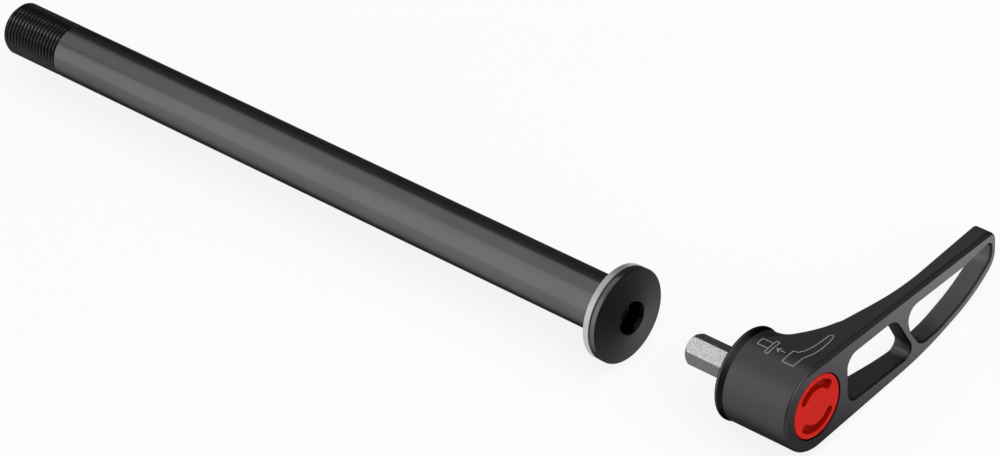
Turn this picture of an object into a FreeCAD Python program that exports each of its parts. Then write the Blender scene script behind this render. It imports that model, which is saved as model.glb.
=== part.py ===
import FreeCAD, Part
import math
import os
import Sketcher

# Bicycle thru axle: a hollow turned axle with a cone-faced head, the washer that turns behind the
# head, and the plug-in lever that drives the axle through a hexagonal bit, drawn out of the head.
# X runs along the axle towards the lever, with X = 0 at the washer's bearing face. The axle lies
# level, with the lever's arm lying out to +Y and its curved edge down.

os.makedirs("parts", exist_ok=True)
doc = FreeCAD.newDocument("thru_axle")

# Driving sizes, in millimetres and degrees
sizes = {
    # axle shaft
    "shaft_radius": 6.0,
    "shaft_reach": 175.0,
    "tip_chamfer": 0.6,
    "thread_length": 16.9,
    "thread_pitch": 1.0,
    "thread_depth": 0.61,
    "thread_crest": 0.12,
    "thread_angle": 60.0,
    "bore_radius": 3.7,
    "neck_radius": 6.6,
    "neck_start": 0.3,
    "head_radius": 10.3,
    "head_rim": 1.4,
    "head_edge": 0.2,
    "cone_rise": 1.05,
    "mouth_radius": 3.75,
    "socket_depth": 17.6,
    "ring_groove_depth": 4.2,
    "ring_wire": 0.5,
    "ring_radius": 4.05,
    "ring_play": 0.05,
    # washer
    "washer_radius": 10.25,
    "washer_thick": 1.6,
    "washer_edge": 0.15,
    "washer_play": 0.15,
    # lever
    "lever_out": 33.4,
    "arm_droop": 8.9,
    "hub_radius": 9.7,
    "hub_depth": 17.65,
    "lip_radius": 9.96,
    "lip_round": 0.4,
    "lip_width": 0.65,
    "lip_fall": 1.35,
    "lip_groove": 0.55,
    "edge_round": 0.55,
    "recess_radius": 8.6,
    "recess_depth": 1.6,
    "arm_length": 57.45,
    "belly_angle": 3.4,
    "bend_back": 23.45,
    "turn_back": 7.35,
    "belly_turn_z": 3.35,
    "belly_tip_z": 1.75,
    "bend_radius": 73.0,
    "turn_radius": 32.0,
    "tip_low_radius": 5.4,
    "tip_top_radius": 3.1,
    "root_radius": 11.7,
    "root_rise": 11.65,
    "dish_tilt": 5.85,
    "dish_raise": 6.45,
    "dish_start": 10.75,
    "dish_round": 6.2,
    "dish_slope": 10.4,
    "waist_out": 29.5,
    "waist_depth": 2.97,
    "waist_sweep": 66.0,
    "tip_slope": 2.8,
    # windows through the arm
    "top_rail": 3.65,
    "belly_rail": 1.6,
    "tip_rail": 1.3,
    "root_rail": 2.75,
    "low_rail": 4.05,
    "hub_wall": 9.6,
    "near_top_angle": 1.0,
    "rib_foot_back": 26.2,
    "rib_angle": 61.2,
    "rib_peak_back": 28.1,
    "rib_peak_z": 0.4,
    "rib_low_angle": 58.0,
    "rib_high_angle": 80.0,
    "window_sweep": 20.0,
    "tip_rise_back": 10.0,
    "tip_rise_angle": 9.0,
    "corner_tip": 1.6,
    "corner_foot": 2.1,
    "corner_wide": 2.9,
    "corner_rib": 4.0,
    "window_edge": 0.25,
    # hexagonal bit
    "bit_across": 6.0,
    "bit_out": 13.2,
    "bit_turn": 8.0,
    "bit_lead": 0.15,
    "bit_corner": 0.25,
    "bit_head_across": 10.0,
    "bit_head_thick": 5.0,
    "bit_head_seat": 6.1,
    "fit_play": 0.05,
    # cap
    "cap_radius": 6.95,
    "cap_gap": 0.2,
    "cap_thick": 2.1,
    "cap_sink": 0.1,
    "cap_edge": 0.2,
    "spigot_radius": 6.2,
    "spigot_play": 0.05,
    "pocket_inner": 3.9,
    "pocket_outer": 5.8,
    "pocket_half": 61.0,
    "pocket_depth": 1.1,
}

sheet = doc.addObject("Spreadsheet::Sheet", "Sizes")
for row, (alias, value) in enumerate(sizes.items(), start=1):
    sheet.set("A%d" % row, alias)
    sheet.set("B%d" % row, str(value))
    sheet.setAlias("B%d" % row, alias)
doc.recompute()


def size(alias):
    return float(sheet.get(alias))


def bind(target, field, formula):
    # every word of the formula that names a size is looked up in the sheet
    words = formula.split(" ")
    linked = ["Sizes." + word if word in sizes else word for word in words]
    target.setExpression(field, " ".join(linked))


def worked_out(formula):
    words = formula.split(" ")
    linked = ["Sizes." + word if word in sizes else word for word in words]
    return float(sheet.evalExpression(" ".join(linked)))


# Helpers for bodies and sketches

def new_body(label):
    body = doc.addObject("PartDesign::Body", label)
    body.Label = label
    return body


def lay_with_lever(body):
    # the lever's own frame starts at the hub's axle-side face, with +Y along the arm's straight edge
    body.Placement.Rotation = FreeCAD.Rotation(FreeCAD.Vector(-1, 0, 0), size("arm_droop"))
    bind(body, "Placement.Rotation.Angle", "arm_droop")
    bind(body, "Placement.Base.x", "lever_out")


def sketch_on(body, name, role):
    sketch = body.newObject("Sketcher::SketchObject", name)
    planes = [plane for plane in body.Origin.OriginFeatures if plane.Role == role]
    sketch.AttachmentSupport = (planes[0], [""])
    sketch.MapMode = "FlatFace"
    return sketch


def bound_loop(sketch, corners):
    # a closed outline of straight sides, with each corner's two distances bound to the sheet
    spots = [FreeCAD.Vector(worked_out(a), worked_out(b), 0) for a, b in corners]
    count = len(spots)
    for index in range(count):
        sketch.addGeometry(Part.LineSegment(spots[index], spots[(index + 1) % count]), False)
    for index in range(count):
        after = (index + 1) % count
        sketch.addConstraint(Sketcher.Constraint("Coincident", index, 2, after, 1))
    for index, (a, b) in enumerate(corners):
        for kind, formula, value in (("DistanceX", a, spots[index].x), ("DistanceY", b, spots[index].y)):
            number = sketch.addConstraint(Sketcher.Constraint(kind, -1, 1, index, 1, value))
            bind(sketch, "Constraints[%d]" % number, formula)


def hexagon(sketch, across, turn):
    # six sides around the axis, set by the distance across the flats and the turn of one flat
    corners = []
    for side in range(6):
        angle = "( %s + %d ) * 1 deg )" % (turn, 60 * side + 30)
        corners.append(("( %s ) / sqrt( 3 ) * cos( %s" % (across, angle),
                        "( %s ) / sqrt( 3 ) * sin( %s" % (across, angle)))
    bound_loop(sketch, corners)


def revolve(body, kind, name, sketch):
    feature = body.newObject(kind, name)
    feature.Profile = sketch
    feature.ReferenceAxis = (sketch, ["H_Axis"])
    feature.Angle = 360
    doc.recompute()
    return feature


def raise_up(body, kind, name, sketch, length):
    feature = body.newObject(kind, name)
    feature.Profile = sketch
    bind(feature, "Length", length)
    doc.recompute()
    return feature


def shift(sketch, formula):
    bind(sketch, "AttachmentOffset.Base.z", formula)


def dress(body, kind, name, edges, field, formula):
    base = body.Tip
    feature = body.newObject(kind, name)
    feature.Base = (base, edges)
    bind(feature, field, formula)
    doc.recompute()
    return feature


# Helpers for outlines made of straight lines joined by arcs

def line_at(y, z, heading):
    return (y, z, math.radians(heading))


def beside(line, distance):
    # the line moved to its left by a distance
    y, z, heading = line
    return (y - distance * math.sin(heading), z + distance * math.cos(heading), heading)


def meet(first, second):
    y1, z1, a1 = first
    y2, z2, a2 = second
    along = ((y2 - y1) * math.sin(a2) - (z2 - z1) * math.cos(a2)) / math.sin(a2 - a1)
    return FreeCAD.Vector(y1 + along * math.cos(a1), z1 + along * math.sin(a1), 0)


def rounded_loop(sketch, sides):
    # each side is a line and the radius of the corner where it meets the next side
    count = len(sides)
    arcs = []
    for index, (line, radius) in enumerate(sides):
        following = sides[(index + 1) % count][0]
        corner = meet(line, following)
        half = (following[2] - line[2]) / 2
        half = math.atan2(math.sin(2 * half), math.cos(2 * half)) / 2
        back = radius * abs(math.tan(half))
        start = corner - FreeCAD.Vector(math.cos(line[2]), math.sin(line[2]), 0) * back
        end = corner + FreeCAD.Vector(math.cos(following[2]), math.sin(following[2]), 0) * back
        middle_way = line[2] + half + math.pi / 2
        bulge = math.copysign(radius / math.cos(half) - radius, half)
        middle = corner + FreeCAD.Vector(math.cos(middle_way), math.sin(middle_way), 0) * bulge
        arcs.append((start, middle, end))
    for index, (start, middle, end) in enumerate(arcs):
        if start.distanceToPoint(end) > 1e-6:
            sketch.addGeometry(Part.Arc(start, middle, end), False)
        sketch.addGeometry(Part.LineSegment(end, arcs[(index + 1) % count][0]), False)


def edges_that(shape, wanted):
    return ["Edge%d" % (number + 1) for number, edge in enumerate(shape.Edges) if wanted(edge)]


def among(edges):
    return lambda edge: any(edge.isSame(other) for other in edges)


def across_axle(edge, x):
    # true for an edge that lies in the plane standing at x across the axle
    return edge.BoundBox.XLength < 1e-6 and abs(edge.BoundBox.XMin - x) < 1e-6


def along_axle(edge):
    return edge.BoundBox.YLength < 1e-6 and edge.BoundBox.ZLength < 1e-6


def reach(edge):
    # how far the edge's middle stands from the axis
    middle = edge.valueAt((edge.FirstParameter + edge.LastParameter) / 2)
    return math.hypot(middle.y, middle.z)


# The axle: one turned bar, hollow from the threaded end, with its socket in the head

# where the head's rim starts and ends along the axle, and the tip of its cone face
rim_back = "washer_thick + washer_play"
rim_front = rim_back + " + head_rim"
face_tip = rim_front + " + cone_rise"


def turn_bar(body):
    bar = sketch_on(body, "bar_profile", "XY_Plane")
    bound_loop(bar, [
        ("0 - shaft_reach", "bore_radius"),
        ("0 - shaft_reach", "shaft_radius - tip_chamfer"),
        ("tip_chamfer - shaft_reach", "shaft_radius"),
        ("neck_start", "shaft_radius"),
        ("neck_start", "neck_radius"),
        (rim_back, "neck_radius"),
        (rim_back, "head_radius"),
        (rim_front + " - head_edge", "head_radius"),
        (rim_front, "head_radius - head_edge"),
        (face_tip, "mouth_radius"),
        (face_tip, "bore_radius / 2"),
        (face_tip + " - socket_depth", "bore_radius / 2"),
        (face_tip + " - socket_depth", "bore_radius"),
    ])
    revolve(body, "PartDesign::Revolution", "bar", bar)


def thread_groove(sketch, x):
    # the section of one groove of the thread, a little proud of the bar, with its middle at x
    half = "( thread_pitch - thread_crest ) / 2"
    lean = " * tan( thread_angle / 2 * 1 deg )"
    proud = "thread_crest / 3"
    bound_loop(sketch, [
        (x + " - " + half + " - " + proud + lean, "shaft_radius + " + proud),
        (x + " - " + half + " + thread_depth" + lean, "shaft_radius - thread_depth"),
        (x + " + " + half + " - thread_depth" + lean, "shaft_radius - thread_depth"),
        (x + " + " + half + " + " + proud + lean, "shaft_radius + " + proud),
    ])


def cut_thread(body):
    # the winding groove runs out into a plain one where the smooth shaft starts
    start = sketch_on(body, "thread_profile", "XY_Plane")
    thread_groove(start, "0 - shaft_reach - thread_pitch")
    thread = body.newObject("PartDesign::SubtractiveHelix", "thread")
    thread.Profile = start
    thread.ReferenceAxis = (start, ["H_Axis"])
    thread.Mode = 0
    bind(thread, "Pitch", "thread_pitch")
    bind(thread, "Height", "thread_length + thread_pitch / 2")
    doc.recompute()
    stop = sketch_on(body, "runout_profile", "XY_Plane")
    thread_groove(stop, "thread_length - thread_pitch / 2 - shaft_reach")
    revolve(body, "PartDesign::Groove", "runout", stop)


def cut_socket(body):
    # the hexagon, the round lead into it and the groove that holds the rubber ring
    socket = sketch_on(body, "socket_outline", "YZ_Plane")
    shift(socket, face_tip)
    hexagon(socket, "bit_across + 2 * fit_play", "bit_turn - arm_droop")
    raise_up(body, "PartDesign::Pocket", "socket", socket, "socket_depth + 1")
    lead = sketch_on(body, "socket_lead_profile", "XY_Plane")
    bound_loop(lead, [
        (face_tip, "0"),
        (face_tip, "mouth_radius"),
        (face_tip + " - mouth_radius + bit_across / 2", "bit_across / 2"),
        (face_tip + " - mouth_radius + bit_across / 2", "0"),
    ])
    revolve(body, "PartDesign::Groove", "socket_lead", lead)
    groove = sketch_on(body, "ring_groove_profile", "XY_Plane")
    middle = face_tip + " - ring_groove_depth"
    bottom = "ring_radius + ring_wire + ring_play"
    bound_loop(groove, [
        (middle + " - ring_wire - ring_play", "0"),
        (middle + " - ring_wire - ring_play", bottom),
        (middle + " + ring_wire + ring_play", bottom),
        (middle + " + ring_wire + ring_play", "0"),
    ])
    revolve(body, "PartDesign::Groove", "ring_groove", groove)


def build_axle():
    body = new_body("axle_shaft")
    turn_bar(body)
    cut_thread(body)
    cut_socket(body)
    return body


def build_socket_ring():
    # the sprung rubber ring in the socket, which grips the corners of the bit
    ring = doc.addObject("Part::Torus", "socket_ring")
    ring.Label = "socket_ring"
    bind(ring, "Radius1", "ring_radius")
    bind(ring, "Radius2", "ring_wire")
    ring.Placement.Rotation = FreeCAD.Rotation(FreeCAD.Vector(0, 1, 0), 90)
    bind(ring, "Placement.Base.x", face_tip + " - ring_groove_depth")
    return ring


def build_washer():
    body = new_body("thrust_washer")
    section = sketch_on(body, "washer_profile", "XY_Plane")
    bound_loop(section, [
        ("0", "neck_radius + fit_play"),
        ("0", "washer_radius - washer_edge"),
        ("washer_edge", "washer_radius"),
        ("washer_thick - washer_edge", "washer_radius"),
        ("washer_thick", "washer_radius - washer_edge"),
        ("washer_thick", "neck_radius + fit_play"),
    ])
    revolve(body, "PartDesign::Revolution", "washer", section)
    return body


# The lever: one forging, a hub and a flat-faced arm dished behind, with two windows

def belly_lines():
    # the three straight lines that the arm's curved edge is rounded from, hub to tip
    heading = math.radians(size("belly_angle"))
    first = line_at(size("hub_radius") * math.sin(heading), -size("hub_radius") * math.cos(heading),
                    size("belly_angle"))
    bend = meet(first, line_at(size("arm_length") - size("bend_back"), 0, 90))
    turn = FreeCAD.Vector(size("arm_length") - size("turn_back"), -size("belly_turn_z"), 0)
    tip = FreeCAD.Vector(size("arm_length"), size("belly_tip_z"), 0)
    second = line_at(bend.x, bend.y, math.degrees(math.atan2(turn.y - bend.y, turn.x - bend.x)))
    third = line_at(turn.x, turn.y, math.degrees(math.atan2(tip.y - turn.y, tip.x - turn.x)))
    return first, second, third


def arm_outline(sketch):
    first, second, third = belly_lines()
    rounded_loop(sketch, [
        (line_at(0, size("hub_radius"), 270 + size("belly_angle") / 2), 0),
        (first, size("bend_radius")),
        (second, size("turn_radius")),
        (third, size("tip_low_radius")),
        (line_at(size("arm_length"), 0, 90), size("tip_top_radius")),
        (line_at(0, size("hub_radius"), 180), 0),
    ])


def near_window_outline(sketch):
    high = size("hub_radius") - size("top_rail")
    low = size("low_rail") - size("hub_radius")
    foot = size("arm_length") - size("rib_foot_back")
    rounded_loop(sketch, [
        (line_at(size("hub_wall"), 0, 270), size("corner_wide")),
        (line_at(0, low, 0), size("corner_foot")),
        (line_at(foot, low, 180 - size("rib_angle")), size("corner_rib")),
        (line_at((size("hub_wall") + foot) / 2, high, 180 + size("near_top_angle")), size("corner_wide")),
    ])


def far_window_outline(sketch):
    first, second, third = belly_lines()
    rail = size("belly_rail")
    high = size("hub_radius") - size("top_rail")
    peak = (size("arm_length") - size("rib_peak_back"), size("rib_peak_z"))
    sweep = size("turn_radius")
    rise = size("arm_length") - size("tip_rise_back")
    rounded_loop(sketch, [
        (line_at(*peak, 360 - size("rib_low_angle")), size("corner_rib")),
        (beside(first, size("root_rail")), size("window_sweep")),
        (beside(second, rail), sweep - rail),
        (beside(third, rail), size("tip_low_radius") - rail),
        (line_at(size("arm_length") - size("tip_rail"), 0, 90), size("corner_tip")),
        (line_at(rise, high, 180 + size("tip_rise_angle")), sweep),
        (line_at(0, high, 180), size("corner_wide")),
        (line_at(*peak, 360 - size("rib_high_angle")), 2 * size("corner_rib")),
    ])


def lean(sketch):
    # tilts a profile from the hub's axis, so that the arm is thinnest along its top
    sketch.AttachmentOffset.Rotation = FreeCAD.Rotation(FreeCAD.Vector(0, 1, 0), size("dish_tilt"))
    bind(sketch, "AttachmentOffset.Rotation.Angle", "dish_tilt")


def root_profile(sketch):
    # what is cut away behind the arm beside the hub, with a wide blend to the hub
    rounded_loop(sketch, [
        (line_at(-size("hub_radius"), 0, 270), 0),
        (line_at(0, size("hub_radius"), 0), size("root_radius")),
        (line_at(size("root_rise"), 0, 90), 0),
        (line_at(0, size("arm_length") + size("hub_radius"), 180), 0),
    ])


def dish_profile(sketch):
    # what is cut away behind the rest of the arm, deepest at the waist
    deep = size("hub_depth") - size("waist_depth")
    rounded_loop(sketch, [
        (line_at(-size("hub_radius"), 0, 270), 0),
        (line_at(0, size("dish_start"), 0), size("dish_round")),
        (line_at(deep, size("waist_out"), 90 - size("dish_slope")), size("waist_sweep")),
        (line_at(deep, size("waist_out"), 90 + size("tip_slope")), 0),
        (line_at(0, size("arm_length") + size("hub_radius"), 180), 0),
    ])


def cut_behind(body):
    # the two cuts that leave the arm thin behind its flat face
    root = sketch_on(body, "root_profile", "XY_Plane")
    lean(root)
    root_profile(root)
    revolve(body, "PartDesign::Groove", "root", root)
    dish = sketch_on(body, "dish_profile", "XY_Plane")
    lean(dish)
    shift(dish, "dish_raise")
    dish_profile(dish)
    revolve(body, "PartDesign::Groove", "dish", dish)


def add_hub(body):
    hub = sketch_on(body, "hub_profile", "XY_Plane")
    bound_loop(hub, [
        ("0", "0"),
        ("0", "lip_radius"),
        ("lip_width", "lip_radius"),
        ("lip_width + lip_fall", "hub_radius - lip_groove"),
        ("lip_width + lip_fall", "hub_radius"),
        ("hub_depth", "hub_radius"),
        ("hub_depth", "0"),
    ])
    revolve(body, "PartDesign::Revolution", "hub", hub)


def cut_windows(body):
    for name, draw in (("near_window", near_window_outline), ("far_window", far_window_outline)):
        window = sketch_on(body, name + "_outline", "YZ_Plane")
        shift(window, "hub_depth")
        draw(window)
        raise_up(body, "PartDesign::Pocket", name, window, "hub_depth - lip_width - lip_fall")


# where the bit's head ends inside the hub, and the cap's spigot starts
bit_head_front = "bit_head_seat + bit_head_thick"


def cut_hub_inside(body):
    # the cap's stepped seat, the recess over the axle's head and the bit's two hexagons
    inside = sketch_on(body, "hub_inside_profile", "XY_Plane")
    shoulder = "hub_depth - cap_sink - cap_thick"
    bound_loop(inside, [
        (bit_head_front, "0"),
        (bit_head_front, "spigot_radius + spigot_play"),
        (shoulder, "spigot_radius + spigot_play"),
        (shoulder, "cap_radius + cap_gap"),
        ("hub_depth", "cap_radius + cap_gap"),
        ("hub_depth", "0"),
    ])
    revolve(body, "PartDesign::Groove", "hub_inside", inside)
    recess = sketch_on(body, "recess_profile", "XY_Plane")
    bound_loop(recess, [
        ("0", "0"),
        ("0", "recess_radius"),
        ("recess_depth", "recess_radius - recess_depth / 4"),
        ("recess_depth", "0"),
    ])
    revolve(body, "PartDesign::Groove", "recess", recess)
    for name, across, depth in (("bit_head_pocket", "bit_head_across + fit_play", "bit_head_thick"),
                                ("bit_hole", "bit_across + fit_play", bit_head_front)):
        hexes = sketch_on(body, name + "_outline", "YZ_Plane")
        shift(hexes, bit_head_front)
        hexagon(hexes, across, "bit_turn")
        raise_up(body, "PartDesign::Pocket", name, hexes, depth)


def front_edges(shape, outer):
    # the edges around the lever's front face, or else those around its two windows
    flats = [flat for flat in shape.Faces if across_axle(flat, size("hub_depth"))]
    front = max(flats, key=lambda flat: flat.Area)
    rims = [wire for wire in front.Wires
            if wire.isSame(front.OuterWire) == outer and len(wire.Edges) > 1]
    return edges_that(shape, among([edge for rim in rims for edge in rim.Edges]))


def round_lever(body):
    dress(body, "PartDesign::Fillet", "window_edges",
          front_edges(body.Tip.Shape, False), "Radius", "window_edge")
    dress(body, "PartDesign::Fillet", "face_rounding",
          front_edges(body.Tip.Shape, True), "Radius", "edge_round")
    dress(body, "PartDesign::Fillet", "lip_rounding",
          edges_that(body.Tip.Shape, lambda edge: across_axle(edge, 0) and reach(edge) > size("hub_radius")),
          "Radius", "lip_round")


def build_lever():
    body = new_body("lever_body")
    lay_with_lever(body)
    outline = sketch_on(body, "arm_outline", "YZ_Plane")
    arm_outline(outline)
    raise_up(body, "PartDesign::Pad", "arm", outline, "hub_depth")
    cut_behind(body)
    add_hub(body)
    cut_windows(body)
    cut_hub_inside(body)
    round_lever(body)
    return body


# The bit and the cap, which the hub holds

def build_bit():
    body = new_body("hex_bit")
    lay_with_lever(body)
    shank = sketch_on(body, "shank_outline", "YZ_Plane")
    shift(shank, "0 - bit_out")
    hexagon(shank, "bit_across", "bit_turn")
    raise_up(body, "PartDesign::Pad", "shank", shank, "bit_out + bit_head_seat")
    dress(body, "PartDesign::Fillet", "shank_corners",
          edges_that(body.Tip.Shape, along_axle), "Radius", "bit_corner")
    nose = sketch_on(body, "nose_profile", "XY_Plane")
    bound_loop(nose, [
        ("0 - bit_out", "bit_across / 2 - bit_lead"),
        ("bit_across / 2 + bit_lead - bit_out", "bit_across"),
        ("0 - bit_out", "bit_across"),
    ])
    revolve(body, "PartDesign::Groove", "nose", nose)
    head = sketch_on(body, "head_outline", "YZ_Plane")
    shift(head, "bit_head_seat")
    hexagon(head, "bit_head_across", "bit_turn")
    raise_up(body, "PartDesign::Pad", "head", head, "bit_head_thick")
    return body


def pocket_outline(sketch, aside):
    # a bent slot with round ends, centred on the direction given in degrees
    middle = (size("pocket_inner") + size("pocket_outer")) / 2
    end = (size("pocket_outer") - size("pocket_inner")) / 2
    half = size("pocket_half") - math.degrees(math.asin(end / middle))

    def spot(distance, angle):
        turn = math.radians(aside + angle)
        return FreeCAD.Vector(distance * math.cos(turn), distance * math.sin(turn), 0)

    def cap_spot(side):
        turn = math.radians(aside + side * half + side * 90)
        return spot(middle, side * half) + FreeCAD.Vector(end * math.cos(turn), end * math.sin(turn), 0)

    outer = size("pocket_outer")
    inner = size("pocket_inner")
    sketch.addGeometry(Part.Arc(spot(outer, -half), spot(outer, 0), spot(outer, half)), False)
    sketch.addGeometry(Part.Arc(spot(outer, half), cap_spot(1), spot(inner, half)), False)
    sketch.addGeometry(Part.Arc(spot(inner, half), spot(inner, 0), spot(inner, -half)), False)
    sketch.addGeometry(Part.Arc(spot(inner, -half), cap_spot(-1), spot(outer, -half)), False)


def build_cap():
    body = new_body("end_cap")
    lay_with_lever(body)
    section = sketch_on(body, "cap_profile", "XY_Plane")
    top = "hub_depth - cap_sink"
    bound_loop(section, [
        (bit_head_front, "0"),
        (bit_head_front, "spigot_radius"),
        (top + " - cap_thick", "spigot_radius"),
        (top + " - cap_thick", "cap_radius"),
        (top + " - cap_edge", "cap_radius"),
        (top, "cap_radius - cap_edge"),
        (top, "0"),
    ])
    revolve(body, "PartDesign::Revolution", "cap", section)
    for name, aside in (("upper_pocket", 90), ("lower_pocket", 270)):
        outline = sketch_on(body, name + "_outline", "YZ_Plane")
        shift(outline, top)
        pocket_outline(outline, aside)
        raise_up(body, "PartDesign::Pocket", name, outline, "pocket_depth")
    return body


makers = [build_axle, build_socket_ring, build_washer, build_lever, build_bit, build_cap]
nodes = [make() for make in makers]
doc.recompute()

for item in doc.Objects:
    if "Invalid" in item.State or "Error" in item.State:
        raise RuntimeError("%s failed: %s" % (item.Name, item.State))
for node in nodes:
    if node.Shape.isNull() or not node.Shape.isValid() or len(node.Shape.Solids) != 1:
        raise RuntimeError("%s has no sound solid" % node.Label)
    node.Shape.exportStep("parts/%s.step" % node.Label)
    print(node.Label, round(node.Shape.Volume, 1), node.Shape.BoundBox)
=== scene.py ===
import math

import bpy
from mathutils import Matrix, Vector


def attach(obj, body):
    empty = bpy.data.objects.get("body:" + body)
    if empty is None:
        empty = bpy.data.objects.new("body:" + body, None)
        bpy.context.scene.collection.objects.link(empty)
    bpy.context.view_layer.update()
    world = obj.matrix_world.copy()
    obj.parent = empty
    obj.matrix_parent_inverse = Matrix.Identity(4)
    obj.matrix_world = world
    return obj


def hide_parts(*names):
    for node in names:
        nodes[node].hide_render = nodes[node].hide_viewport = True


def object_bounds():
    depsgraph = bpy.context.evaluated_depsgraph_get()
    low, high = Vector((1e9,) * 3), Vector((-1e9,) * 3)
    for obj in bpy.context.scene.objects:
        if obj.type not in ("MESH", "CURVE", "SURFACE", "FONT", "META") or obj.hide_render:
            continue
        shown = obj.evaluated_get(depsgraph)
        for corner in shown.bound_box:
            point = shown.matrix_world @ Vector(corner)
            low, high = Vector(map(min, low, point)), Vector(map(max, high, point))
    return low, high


# A bicycle thru axle and its plug-in lever on a white table. X runs along the axle towards the
# lever and Z is up. The dictionaries below are in millimetres and degrees.

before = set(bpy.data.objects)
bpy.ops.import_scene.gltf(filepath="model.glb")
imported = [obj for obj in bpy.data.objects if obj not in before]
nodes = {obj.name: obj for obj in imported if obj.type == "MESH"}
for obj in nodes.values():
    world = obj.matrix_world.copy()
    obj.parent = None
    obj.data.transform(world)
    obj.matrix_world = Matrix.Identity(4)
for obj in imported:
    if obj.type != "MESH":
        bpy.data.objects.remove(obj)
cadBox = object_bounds()
mm = 0.001
print("frame loaded:", ", ".join(sorted(nodes)))


class Wire:
    # an output of a shader node; sums written with wires add Math nodes

    def __init__(self, paint, node, output=0):
        self.paint = paint
        self.node = node
        self.socket = node.outputs[output] if node.outputs else None

    def of(self, output):
        # another output of the same node
        return Wire(self.paint, self.node, output)

    def maths(self, operation, first, second=0.0):
        return self.paint.add("ShaderNodeMath", {"operation": operation}, {0: first, 1: second})

    def __add__(self, other):
        return self.maths("ADD", self, other)

    __radd__ = __add__

    def __sub__(self, other):
        return self.maths("SUBTRACT", self, other)

    def __rsub__(self, other):
        return self.maths("SUBTRACT", other, self)

    def __mul__(self, other):
        return self.maths("MULTIPLY", self, other)

    __rmul__ = __mul__

    def __truediv__(self, other):
        return self.maths("DIVIDE", self, other)

    def __pow__(self, other):
        return self.maths("POWER", self, other)

    def __abs__(self):
        return self.maths("ABSOLUTE", self)

    def above(self, other):
        # 1 where this is the greater, 0 elsewhere
        return self.maths("GREATER_THAN", self, other)

    def most(self, other):
        return self.maths("MAXIMUM", self, other)

    def between(self, low, high):
        # low where this is 0, high where it is 1
        return self * (high - low) + low


class Paint:
    # one material and the nodes in it

    def __init__(self, name):
        self.material = bpy.data.materials.new(name)
        self.material.use_nodes = True
        self.tree = self.material.node_tree
        self.tree.nodes.clear()

    def add(self, kind, settings, values, output=0):
        node = self.tree.nodes.new(kind)
        for name, value in settings.items():
            setattr(node, name, value)
        for name, value in values.items():
            if isinstance(value, Wire):
                self.tree.links.new(value.socket, node.inputs[name])
            else:
                node.inputs[name].default_value = value
        return Wire(self, node, output)

    def blend(self, mask, first, second):
        # first where the mask is 0, second where it is 1
        return self.add("ShaderNodeMix", {"data_type": "RGBA"}, {0: mask, 6: first, 7: second}, 2)

    def dye(self, mask, tones):
        # a black anodised surface with a pair of tones
        first, second = tones
        return self.blend(mask, dyed(first), dyed(second))

    def ramp(self, value, low, high):
        # 0 up to low, 1 from high, and a straight rise between them
        made = self.add("ShaderNodeValToRGB", {}, {"Fac": value})
        first, second = made.node.color_ramp.elements
        first.position, first.color = low, grey(0.0)
        second.position, second.color = high, grey(1.0)
        return made

    def clamped(self, value):
        return self.add("ShaderNodeClamp", {}, {"Value": value})

    def place(self):
        # the object's own coordinates, in metres
        return self.add("ShaderNodeTexCoord", {}, {}, "Object")

    def parts(self, vector):
        split = self.add("ShaderNodeSeparateXYZ", {}, {"Vector": vector})
        return split, split.of(1), split.of(2)

    def spot(self):
        # the object's own coordinates along X, Y and Z, in millimetres
        return [part / mm for part in self.parts(self.place())]

    def stretched(self, vector, scale):
        return self.add("ShaderNodeMapping", {}, {"Vector": vector, "Scale": scale})

    def noise(self, vector, size, detail=2.0, roughness=0.5):
        # size is the width of a speck in millimetres
        return self.add("ShaderNodeTexNoise", {}, {"Vector": vector, "Scale": 1 / (size * mm),
                                                   "Detail": detail, "Roughness": roughness})

    def rings(self, pitch):
        # marks of a cutting tool on a face that was turned about the axle, spaced by pitch
        x, y, z = self.parts(self.place())
        outward = (y * y + z * z) ** 0.5
        flat = self.add("ShaderNodeCombineXYZ", {}, {0: outward, 1: x})
        return self.noise(flat, pitch, 1.0)

    def bump(self, height, depth):
        return self.add("ShaderNodeBump", {}, {"Height": height, "Distance": depth * mm})

    def surface(self, values):
        shader = self.add("ShaderNodeBsdfPrincipled", {}, values)
        self.end(shader)
        return self.material

    def end(self, shader):
        self.add("ShaderNodeOutputMaterial", {}, {"Surface": shader})


def grey(level):
    return (level, level, level, 1)


def dyed(level):
    # the faint violet cast of a black anodised surface
    return (level, level * 0.945, level, 1)


# Finishes. In each dictionary, a pair gives a value's least and its most over the surface. Specks,
# clouds, pitches and depths are in millimetres. A run draws marks out along the axes where it is
# small, and aslant is how much a metal brightens where it is seen aslant.

shaftBlack = {"tones": (0.125, 0.155), "roughness": (0.2, 0.25), "aslant": 0.2, "cloud": 9.0,
              "groove": 0.18, "grooveRun": (1, 0.02, 0.02), "grooveDepth": 0.0007}


def anodisedShaft():
    paint = Paint("blackAnodisedShaft")
    place = paint.place()
    grooves = paint.noise(paint.stretched(place, shaftBlack["grooveRun"]), shaftBlack["groove"], 2.0)
    cloud = paint.noise(place, shaftBlack["cloud"], 3.0)
    return paint.surface({
        "Base Color": paint.dye(cloud, shaftBlack["tones"]),
        "Metallic": 1.0,
        "Roughness": cloud.between(*shaftBlack["roughness"]),
        "Specular Tint": grey(shaftBlack["aslant"]),
        "Normal": paint.bump(grooves, shaftBlack["grooveDepth"]),
    })


threadBlack = {"tones": (0.03, 0.06), "roughness": (0.25, 0.33), "aslant": 0.2,
               "speck": 0.12, "depth": 0.002}


def anodisedThread():
    paint = Paint("blackAnodisedThread")
    specks = paint.noise(paint.place(), threadBlack["speck"], 2.0)
    return paint.surface({
        "Base Color": paint.dye(specks, threadBlack["tones"]),
        "Metallic": 1.0,
        "Roughness": specks.between(*threadBlack["roughness"]),
        "Specular Tint": grey(threadBlack["aslant"]),
        "Normal": paint.bump(specks, threadBlack["depth"]),
    })


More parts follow.
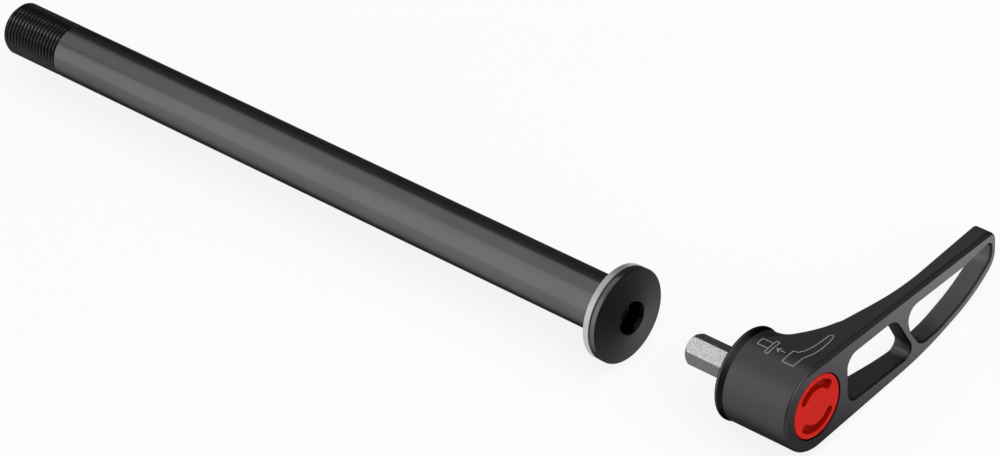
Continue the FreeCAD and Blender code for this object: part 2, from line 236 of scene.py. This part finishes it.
# the head's face gets tones far darker than the shaft's, as painted shade on the same black anodising
shadedHeadFace = {"tones": (0.014, 0.021), "roughness": (0.27, 0.33), "ringPitch": 0.11, "ringDepth": 0.004}


def turnedHead():
    paint = Paint("turnedShadedHeadFace")
    marks = paint.rings(shadedHeadFace["ringPitch"])
    return paint.surface({
        "Base Color": paint.dye(marks, shadedHeadFace["tones"]),
        "Metallic": 1.0,
        "Roughness": marks.between(*shadedHeadFace["roughness"]),
        "Normal": paint.bump(marks, shadedHeadFace["ringDepth"]),
    })


# the socket's near-black tones are painted shade inside the hole, with the broaching strokes over it
socketShade = {"tones": (0.002, 0.006), "roughness": (0.35, 0.45), "aslant": 0.2, "stroke": 0.2,
               "strokeRun": (0.05, 1, 1)}


def broachedShadedSocket():
    paint = Paint("broachedShadedSocket")
    drawn = paint.stretched(paint.place(), socketShade["strokeRun"])
    strokes = paint.noise(drawn, socketShade["stroke"], 2.0)
    return paint.surface({
        "Base Color": paint.dye(strokes, socketShade["tones"]),
        "Metallic": 1.0,
        "Roughness": strokes.between(*socketShade["roughness"]),
        "Specular Tint": grey(socketShade["aslant"]),
    })


washerSilver = {
    "dull": (0.54, 0.525, 0.51, 1), "bright": (0.68, 0.66, 0.645, 1), "gapShade": (0.07, 0.067, 0.065, 1),
    "gapShadeFrom": 1.44, "roughness": (0.38, 0.5), "speck": 0.25, "speckShare": 0.6, "ringPitch": 0.09,
    "depth": 0.004,
}


def satinWasher():
    # dull silver, with a dark painted shade on the edge that turns against the head, in the gap beside its
    # rim
    paint = Paint("satinWasher")
    marks = paint.rings(washerSilver["ringPitch"])
    specks = paint.noise(paint.place(), washerSilver["speck"], 3.0)
    silver = paint.blend(specks, washerSilver["dull"], washerSilver["bright"])
    # painted shade: the washer's edge beside the head's rim is made dark
    inGapShade = paint.spot()[0].above(washerSilver["gapShadeFrom"])
    return paint.surface({
        "Base Color": paint.blend(inGapShade, silver, washerSilver["gapShade"]),
        "Metallic": 1.0,
        "Roughness": specks.between(*washerSilver["roughness"]),
        "Normal": paint.bump(marks + washerSilver["speckShare"] * specks, washerSilver["depth"]),
    })


# two opposite flats of the bit carry a painted highlight; the entry for their flat gives the direction one
# of them faces, in degrees around X
bitSteel = {
    "dark": (0.15, 0.145, 0.145, 1), "pale": (0.34, 0.33, 0.33, 1),
    "sheenDark": (0.5, 0.49, 0.49, 1), "sheenPale": (0.95, 0.93, 0.93, 1),
    "sheenFlat": 119.1, "sheenFacing": 0.95, "roughness": (0.3, 0.42), "aslant": 0.1,
    "pit": 0.3, "pitFrom": 0.38, "pitTo": 0.62, "depth": 0.012,
}


def blastedBit():
    # a blasted bit with a painted highlight on two opposite flats
    paint = Paint("blastedBit")
    pits = paint.noise(paint.place(), bitSteel["pit"], 4.0, 0.7)
    speckle = paint.ramp(pits, bitSteel["pitFrom"], bitSteel["pitTo"])
    facing = paint.parts(paint.add("ShaderNodeTexCoord", {}, {}, "Normal"))
    turn = math.radians(bitSteel["sheenFlat"])
    straight = facing[1] * math.cos(turn) + facing[2] * math.sin(turn)
    # painted highlight: a mask for the two flats that face that way
    sheen = abs(straight).above(bitSteel["sheenFacing"])
    blasted = paint.blend(speckle, bitSteel["dark"], bitSteel["pale"])
    paintedSheen = paint.blend(speckle, bitSteel["sheenDark"], bitSteel["sheenPale"])
    return paint.surface({
        "Base Color": paint.blend(sheen, blasted, paintedSheen),
        "Metallic": 1.0,
        "Roughness": pits.between(*bitSteel["roughness"]),
        "Specular Tint": grey(bitSteel["aslant"]),
        "Normal": paint.bump(pits, bitSteel["depth"]),
    })


# the lever's hub starts at out along X, and its arm droops towards the table by the angle droop
lever = {"out": 33.4, "hub": 9.7, "droop": 8.9}

# The lip, the rounded edge of the face and the face itself are told apart by their places along X,
# and the face ends at faceTop below the arm's top. The lip and the rounded edges are darkened as painted
# shade.
# A painted sheen grows along the arm between its two given places, rises that many times as fast up across
# it, and is broken up by the grain and cloud noise.
leverBlack = {
    "side": (0.085, 0.15), "face": (0.055, 0.27), "edgeShadeTone": 0.048, "lipShadeTone": 0.015,
    "lipFrom": 34.06, "lipTo": 35.4, "edgeFrom": 50.45, "faceFrom": 51.03, "faceTop": 8.7,
    "sheenFrom": -9.0, "sheenTo": 50.0, "sheenRise": 1.2, "sheenPatches": 6.0,
    "roughness": (0.36, 0.46), "aslant": 0.2, "grain": 0.16, "cloud": 6.0, "depth": 0.006,
}


def blackLever():
    # matte black, with a painted sheen that lightens it towards the tip of the arm, above all on its flat
    # face
    paint = Paint("matteBlackLever")
    grain = paint.noise(paint.place(), leverBlack["grain"], 2.0, 0.6)
    cloud = paint.noise(paint.place(), leverBlack["cloud"], 3.0)
    x, y, z = paint.spot()
    droop = math.radians(lever["droop"])
    out = y * math.cos(droop) - z * math.sin(droop)
    rise = y * math.sin(droop) + z * math.cos(droop)
    # painted sheen: lighter out along the arm and up across it, broken up by noise
    sheenReach = out + leverBlack["sheenRise"] * rise + leverBlack["sheenPatches"] * (cloud + grain - 1)
    span = leverBlack["sheenTo"] - leverBlack["sheenFrom"]
    paintedSheen = paint.clamped((sheenReach - leverBlack["sheenFrom"]) / span)
    onFace = x.above(leverBlack["faceFrom"]) * (1 - rise.above(leverBlack["faceTop"]))
    inEdgeShade = x.above(leverBlack["edgeFrom"]) * (1 - onFace)
    inLipShade = x.above(leverBlack["lipFrom"]) - x.above(leverBlack["lipTo"])
    coat = paint.blend(onFace, paint.dye(paintedSheen, leverBlack["side"]), paint.dye(paintedSheen, leverBlack["face"]))
    # painted shade: the rounded edges get one dark tone
    coat = paint.blend(inEdgeShade, coat, dyed(leverBlack["edgeShadeTone"]))
    return paint.surface({
        # painted shade: the lip's groove gets a near-black tone
        "Base Color": paint.blend(inLipShade, coat, dyed(leverBlack["lipShadeTone"])),
        "Metallic": 1.0,
        "Roughness": grain.between(*leverBlack["roughness"]),
        "Specular Tint": grey(leverBlack["aslant"]),
        "Normal": paint.bump(grain, leverBlack["depth"]),
    })


# what lies below faceFrom along X is the floor or wall of a pocket, darker red there as painted shade
capRed = {
    "dark": (0.44, 0.007, 0.003, 1), "bright": (0.62, 0.010, 0.004, 1), "pocketShade": (0.3, 0.005, 0.002, 1),
    "faceFrom": 50.89, "roughness": (0.3, 0.35), "shine": 0.04, "cloud": 3.0, "depth": 0.01,
}


def redCap():
    paint = Paint("satinRedCap")
    cloud = paint.noise(paint.place(), capRed["cloud"], 2.0)
    face = paint.blend(cloud, capRed["dark"], capRed["bright"])
    onFace = paint.spot()[0].above(capRed["faceFrom"])
    return paint.surface({
        # painted shade: the pockets get a darker red
        "Base Color": paint.blend(onFace, capRed["pocketShade"], face),
        "Roughness": cloud.between(*capRed["roughness"]),
        "Specular IOR Level": capRed["shine"],
        "Normal": paint.bump(cloud, capRed["depth"]),
    })


rubber = {"tones": (0.01, 0.03), "roughness": (0.55, 0.75), "dust": 0.2, "depth": 0.004}


def blackRubber():
    paint = Paint("blackRubber")
    dust = paint.noise(paint.place(), rubber["dust"], 3.0)
    darkest, palest = rubber["tones"]
    return paint.surface({
        "Base Color": paint.blend(dust, grey(darkest), grey(palest)),
        "Roughness": dust.between(*rubber["roughness"]),
        "Normal": paint.bump(dust, rubber["depth"]),
    })


etching = {"tones": (0.2, 0.3), "roughness": (0.5, 0.6), "dust": 0.3}


def paleEtching():
    paint = Paint("paleEtching")
    dust = paint.noise(paint.place(), etching["dust"], 3.0)
    darkest, palest = etching["tones"]
    return paint.surface({
        "Base Color": paint.blend(dust, grey(darkest), grey(palest)),
        "Roughness": dust.between(*etching["roughness"]),
    })


# Helpers for meshes

def addMesh(name, points, faces, materials):
    mesh = bpy.data.meshes.new(name)
    mesh.from_pydata(points, [], faces)
    mesh.update()
    for material in materials:
        mesh.materials.append(material)
    made = bpy.data.objects.new(name, mesh)
    bpy.context.scene.collection.objects.link(made)
    return made


def smooth(mesh, sharpest):
    # shades smooth, except over edges sharper than the angle
    mesh.shade_smooth()
    mesh.set_sharp_from_angle(angle=math.radians(sharpest))


# The axle, as rings of points around its axis from the bore at the threaded end, along the outside
# to the head, and back through the socket and the bore. A ring is its place along X and a function
# that gives its radius at an angle.

axle = {
    "steps": 120, "turn": -0.9,
    "end": -175.0, "bore": 3.7, "boreChamfer": 0.4, "shaft": 6.0, "endChamfer": 0.6,
    "pitch": 1.0, "ringsAPitch": 14, "grooveDepth": 0.61, "grooveHalf": 0.44, "flank": 0.3522,
    "runout": -158.6, "shaftStart": -158.14, "neckStart": 0.3, "neck": 6.6,
    "headBack": 1.75, "headFront": 3.15, "head": 10.28, "edge": 0.2,
    "mouthAt": 4.2, "mouth": 3.75, "mouthRoundAt": 4.1, "mouthRoundOut": 3.78, "mouthRound": 0.08,
    "across": 6.1, "ringFront": 0.55, "ringBack": -0.55, "ringBottom": 4.6, "socketEnd": -13.4,
}


def threadRadius(x, angle):
    # a right-handed 60 degree groove that winds along X and runs out into a plain one
    turn = angle / (2 * math.pi)
    nearest = round((x - axle["end"]) / axle["pitch"] - turn)
    last = math.floor((axle["runout"] - axle["end"]) / axle["pitch"] - turn)
    middle = axle["end"] + (min(nearest, last) + turn) * axle["pitch"]
    away = min(abs(x - middle), abs(x - axle["runout"]))
    fall = min(max((axle["grooveHalf"] - away) / axle["flank"], 0.0), 1.0)
    leadIn = axle["shaft"] - axle["endChamfer"] + (x - axle["end"])
    return min(axle["shaft"] - axle["grooveDepth"] * fall, leadIn)


def hexRadius(angle):
    sector = (angle - math.radians(axle["turn"]) + math.pi / 6) % (math.pi / 3) - math.pi / 6
    return axle["across"] / 2 / math.cos(sector)


def even(x, radius):
    return x, lambda angle: radius


def arcRings(x, radius, size, fromAngle, toAngle, steps):
    # a rounded edge whose centre is at x and radius
    turns = [math.radians(fromAngle + (toAngle - fromAngle) * index / steps) for index in range(steps + 1)]
    return [even(x + size * math.cos(turn), radius + size * math.sin(turn)) for turn in turns]


def endRings():
    chamfer = axle["boreChamfer"]
    return [even(axle["end"] + chamfer, axle["bore"]), even(axle["end"], axle["bore"] + chamfer)]


def threadRings():
    span = axle["runout"] + axle["grooveHalf"] - axle["end"]
    count = round(span / axle["pitch"] * axle["ringsAPitch"])
    spots = [axle["end"] + span * index / count for index in range(count + 1)]
    return [(x, lambda angle, x=x: threadRadius(x, angle)) for x in spots]


def barRings():
    # the smooth shaft, the neck and the back of the head, up to its front edge
    start, stop, edge = axle["shaftStart"], axle["neckStart"], axle["edge"]
    rings = [even(start + (stop - start) * part, axle["shaft"]) for part in (0, 0.25, 0.5, 0.75, 1)]
    rings += [even(stop, axle["neck"]), even(axle["headBack"], axle["neck"])]
    rings += arcRings(axle["headBack"] + edge, axle["head"] - edge, edge, fromAngle=180, toAngle=90, steps=4)
    return rings + [even(axle["headFront"] - edge, axle["head"])]


def headRings():
    # the head's front edge, its cone face and the rounded mouth of the socket, all given the head face's
    # dark tones as painted shade
    front, edge = axle["headFront"], axle["edge"]
    rim = axle["head"] - edge
    rise, fall = axle["mouthAt"] - front, axle["mouth"] - rim
    rings = arcRings(front - edge, rim, edge, fromAngle=70.5, toAngle=12, steps=3)
    rings += [even(front + rise * part, rim + fall * part) for part in (0.02, 0.25, 0.5, 0.75, 0.985)]
    return rings + arcRings(axle["mouthRoundAt"], axle["mouthRoundOut"], axle["mouthRound"],
                            fromAngle=60, toAngle=-45, steps=3)


def leadRing(inward):
    # the round lead into the socket, where it has narrowed inward from the mouth
    cone = axle["mouth"] - inward
    return axle["mouthAt"] - inward, lambda angle: max(cone, hexRadius(angle))


def socketRings():
    # the lead, the hexagon with the rubber ring's groove in it, and the bore back to the thread
    narrowing = axle["mouth"] - axle["across"] / 2
    rings = [leadRing(narrowing * part) for part in (0.15, 0.3, 0.45, 0.6, 0.8, 1.0)]
    rings += [(axle["ringFront"], hexRadius), even(axle["ringFront"], axle["ringBottom"]),
              even(axle["ringBack"], axle["ringBottom"]), (axle["ringBack"], hexRadius)]
    return rings + [(axle["socketEnd"], hexRadius), even(axle["socketEnd"], axle["bore"])]


def buildAxle():
    # each stretch's finish covers the faces from each of its rings to the next ring
    coats = [anodisedShaft(), anodisedThread(), turnedHead(), broachedShadedSocket()]
    shaft, thread, head, socket = range(len(coats))
    stretches = [(shaft, endRings()), (thread, threadRings()), (shaft, barRings()),
                 (head, headRings()), (socket, socketRings())]
    rings = [ring for coat, stretch in stretches for ring in stretch]
    steps = axle["steps"]
    turns = [math.radians(axle["turn"]) + 2 * math.pi * step / steps for step in range(steps)]
    points = [(x * mm, radius(turn) * math.cos(turn) * mm, radius(turn) * math.sin(turn) * mm)
              for x, radius in rings for turn in turns]
    faces = []
    for ring in range(len(rings)):
        here, after = ring * steps, (ring + 1) % len(rings) * steps
        for step in range(steps):
            beside = (step + 1) % steps
            faces.append((here + step, here + beside, after + beside, after + step))
    made = addMesh("axle", points, faces, coats)
    slots = [coat for coat, stretch in stretches for face in range(len(stretch) * steps)]
    made.data.polygons.foreach_set("material_index", slots)
    smooth(made.data, sharpest=28)
    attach(made, "axle")
    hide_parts("axle_shaft")


buildAxle()
print("axle built")


# The frame's own pieces, with their finishes

finishes = {"socket_ring": blackRubber, "thrust_washer": satinWasher, "lever_body": blackLever,
            "hex_bit": blastedBit, "end_cap": redCap}
for name, finish in finishes.items():
    nodes[name].data.materials.clear()
    nodes[name].data.materials.append(finish())
    smooth(nodes[name].data, sharpest=32)
print("finishes on")


# The plugging-in sign etched on top of the hub: a stub with a flange, an arrow and a lever

# its points are along X from the hub's start and along the arm from the hub's axis
sign = {
    "width": 0.2, "lift": 0.012, "longest": 0.35,
    "lines": {
        "stub": [(6.6, 0.75), (3.9, 0.75), (3.9, -1.1), (6.6, -1.1)],
        "flange": [(6.6, 1.6), (7.4, 1.6), (7.4, -2.2), (6.6, -2.2), (6.6, 1.6)],
        "shaft": [(8.2, -0.2), (10.2, -0.2)],
        "point": [(8.9, 0.45), (8.1, -0.2), (8.9, -0.85)],
        "lever": [(11.1, -2.4), (11.1, 1.2), (12.1, 1.35), (12.8, 2.6), (13.3, 4.6), (13.45, 7.0),
                  (13.5, 9.2), (13.9, 9.75), (14.4, 9.4), (14.8, 7.4), (14.95, 5.0), (14.7, 2.6),
                  (14.0, 0.6), (13.8, -2.4), (11.1, -2.4)],
    },
}


def onHub(x, y):
    # a point of the sign on the arm's flat top, or on the hub where it curves away
    hub = lever["hub"]
    lift = 1 + sign["lift"] / hub
    if y >= 0:
        local = Vector((x, y, hub * lift))
    else:
        local = Vector((x, y * lift, math.sqrt(hub * hub - y * y) * lift))
    droop = Matrix.Rotation(-math.radians(lever["droop"]), 3, "X")
    return (droop @ local + Vector((lever["out"], 0, 0))) * mm


def finer(line):
    # the line with its long sides cut into short ones, so that it can follow the hub's curve
    made = [line[0]]
    for (x1, y1), (x2, y2) in zip(line, line[1:]):
        count = max(1, math.ceil(math.hypot(x2 - x1, y2 - y1) / sign["longest"]))
        made += [(x1 + (x2 - x1) * k / count, y1 + (y2 - y1) * k / count) for k in range(1, count + 1)]
    return made


def buildSign():
    points, faces = [], []
    for corners in sign["lines"].values():
        line = finer(corners)
        closed = line[0] == line[-1]
        ends = (line[-2], line[1]) if closed else (line[0], line[-1])
        padded = [ends[0]] + line + [ends[1]]
        first = len(points)
        for before, (x, y), after in zip(padded, line, padded[2:]):
            along = Vector((after[0] - before[0], after[1] - before[1])).normalized()
            side = Vector((-along.y, along.x)) * sign["width"] / 2
            points += [onHub(x + side.x, y + side.y), onHub(x - side.x, y - side.y)]
        for spot in range(first, len(points) - 2, 2):
            faces.append((spot, spot + 1, spot + 3, spot + 2))
    made = addMesh("plugSign", points, faces, [paleEtching()])
    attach(made, "lever")


buildSign()
print("sign etched")


# The table, the lamps and the camera

# half is in metres; seen is how bright the table is straight from the camera, and mirrored how
# bright it is in the part
table = {"half": 3.0, "drop": 0.02, "albedo": 0.8, "seen": 0.85, "mirrored": 0.4}


def whiteTable():
    # glows a little where it is looked at, and is plain pale cloth for the lamps and the shadow
    paint = Paint("whiteTable")
    path = paint.add("ShaderNodeLightPath", {}, {})
    mirrored = path.of("Is Glossy Ray").most(path.of("Is Transmission Ray")) * table["mirrored"]
    share = (path.of("Is Camera Ray") * table["seen"]).most(mirrored)
    cloth = paint.add("ShaderNodeBsdfDiffuse", {}, {"Color": grey(table["albedo"])})
    glow = paint.add("ShaderNodeEmission", {}, {"Color": grey(1.0), "Strength": 1.0})
    paint.end(paint.add("ShaderNodeMixShader", {}, {0: share, 1: cloth, 2: glow}))
    return paint.material


def buildTable():
    level = cadBox[0].z - table["drop"] * mm
    half = table["half"]
    corners = [(-half, -half, level), (half, -half, level), (half, half, level), (-half, half, level)]
    addMesh("table", corners, [(0, 1, 2, 3)], [whiteTable()])


def addLamp(name, lamp):
    light = bpy.data.lights.new(name + "Lamp", "AREA")
    light.shape = "RECTANGLE"
    light.size, light.size_y = lamp["size"]
    light.energy = lamp["power"]
    holder = bpy.data.objects.new(name + "Lamp", light)
    holder.location = lamp["from"]
    aim = Vector(lamp["to"]) - Vector(lamp["from"])
    holder.rotation_euler = aim.to_track_quat("-Z", "Y").to_euler()
    bpy.context.scene.collection.objects.link(holder)


def lightWorld(strength):
    world = bpy.data.worlds.new("studio")
    world.use_nodes = True
    background = world.node_tree.nodes["Background"]
    background.inputs["Color"].default_value = grey(1.0)
    background.inputs["Strength"].default_value = strength
    bpy.context.scene.world = world


# the lamps' places and sizes are in metres, and their power is in watts
worldLight = 0.15
lamps = {
    "over": {"from": (-1.0, 0.2, 1.2), "to": (-1.0, 0.2, 0), "size": (0.9, 1.4), "power": 2.6},
    "front": {"from": (-0.95, -1.2, 0.7), "to": (0, 0, 0), "size": (1.2, 1.9), "power": 7.5},
    "right": {"from": (1.2, -0.55, 1.05), "to": (0, 0, 0), "size": (1.5, 1.5), "power": 15},
    "high": {"from": (0.75, 0.1, 1.4), "to": (0, 0, 0), "size": (1.8, 1.8), "power": 20},
}
buildTable()
for name, lamp in lamps.items():
    addLamp(name, lamp)
lightWorld(worldLight)
bpy.context.scene.view_settings.view_transform = "Standard"

# where the photograph was taken from, and which ways the camera's right, up and back point
camera = {
    "at": (447.45, -406.64, 559.79), "sensor": 36, "lens": 148.72,
    "right": (0.74226, 0.65014, -0.16237), "up": (-0.35035, 0.58306, 0.73301),
    "back": (0.57123, -0.48720, 0.66056),
}
lens = bpy.data.cameras.new("camera")
lens.sensor_width = camera["sensor"]
lens.lens = camera["lens"]
viewer = bpy.data.objects.new("camera", lens)
turned = Matrix((camera["right"], camera["up"], camera["back"])).transposed().to_4x4()
viewer.matrix_world = Matrix.Translation(Vector(camera["at"]) * mm) @ turned
bpy.context.scene.collection.objects.link(viewer)
bpy.context.scene.camera = viewer
print("stage, lamps and camera set")
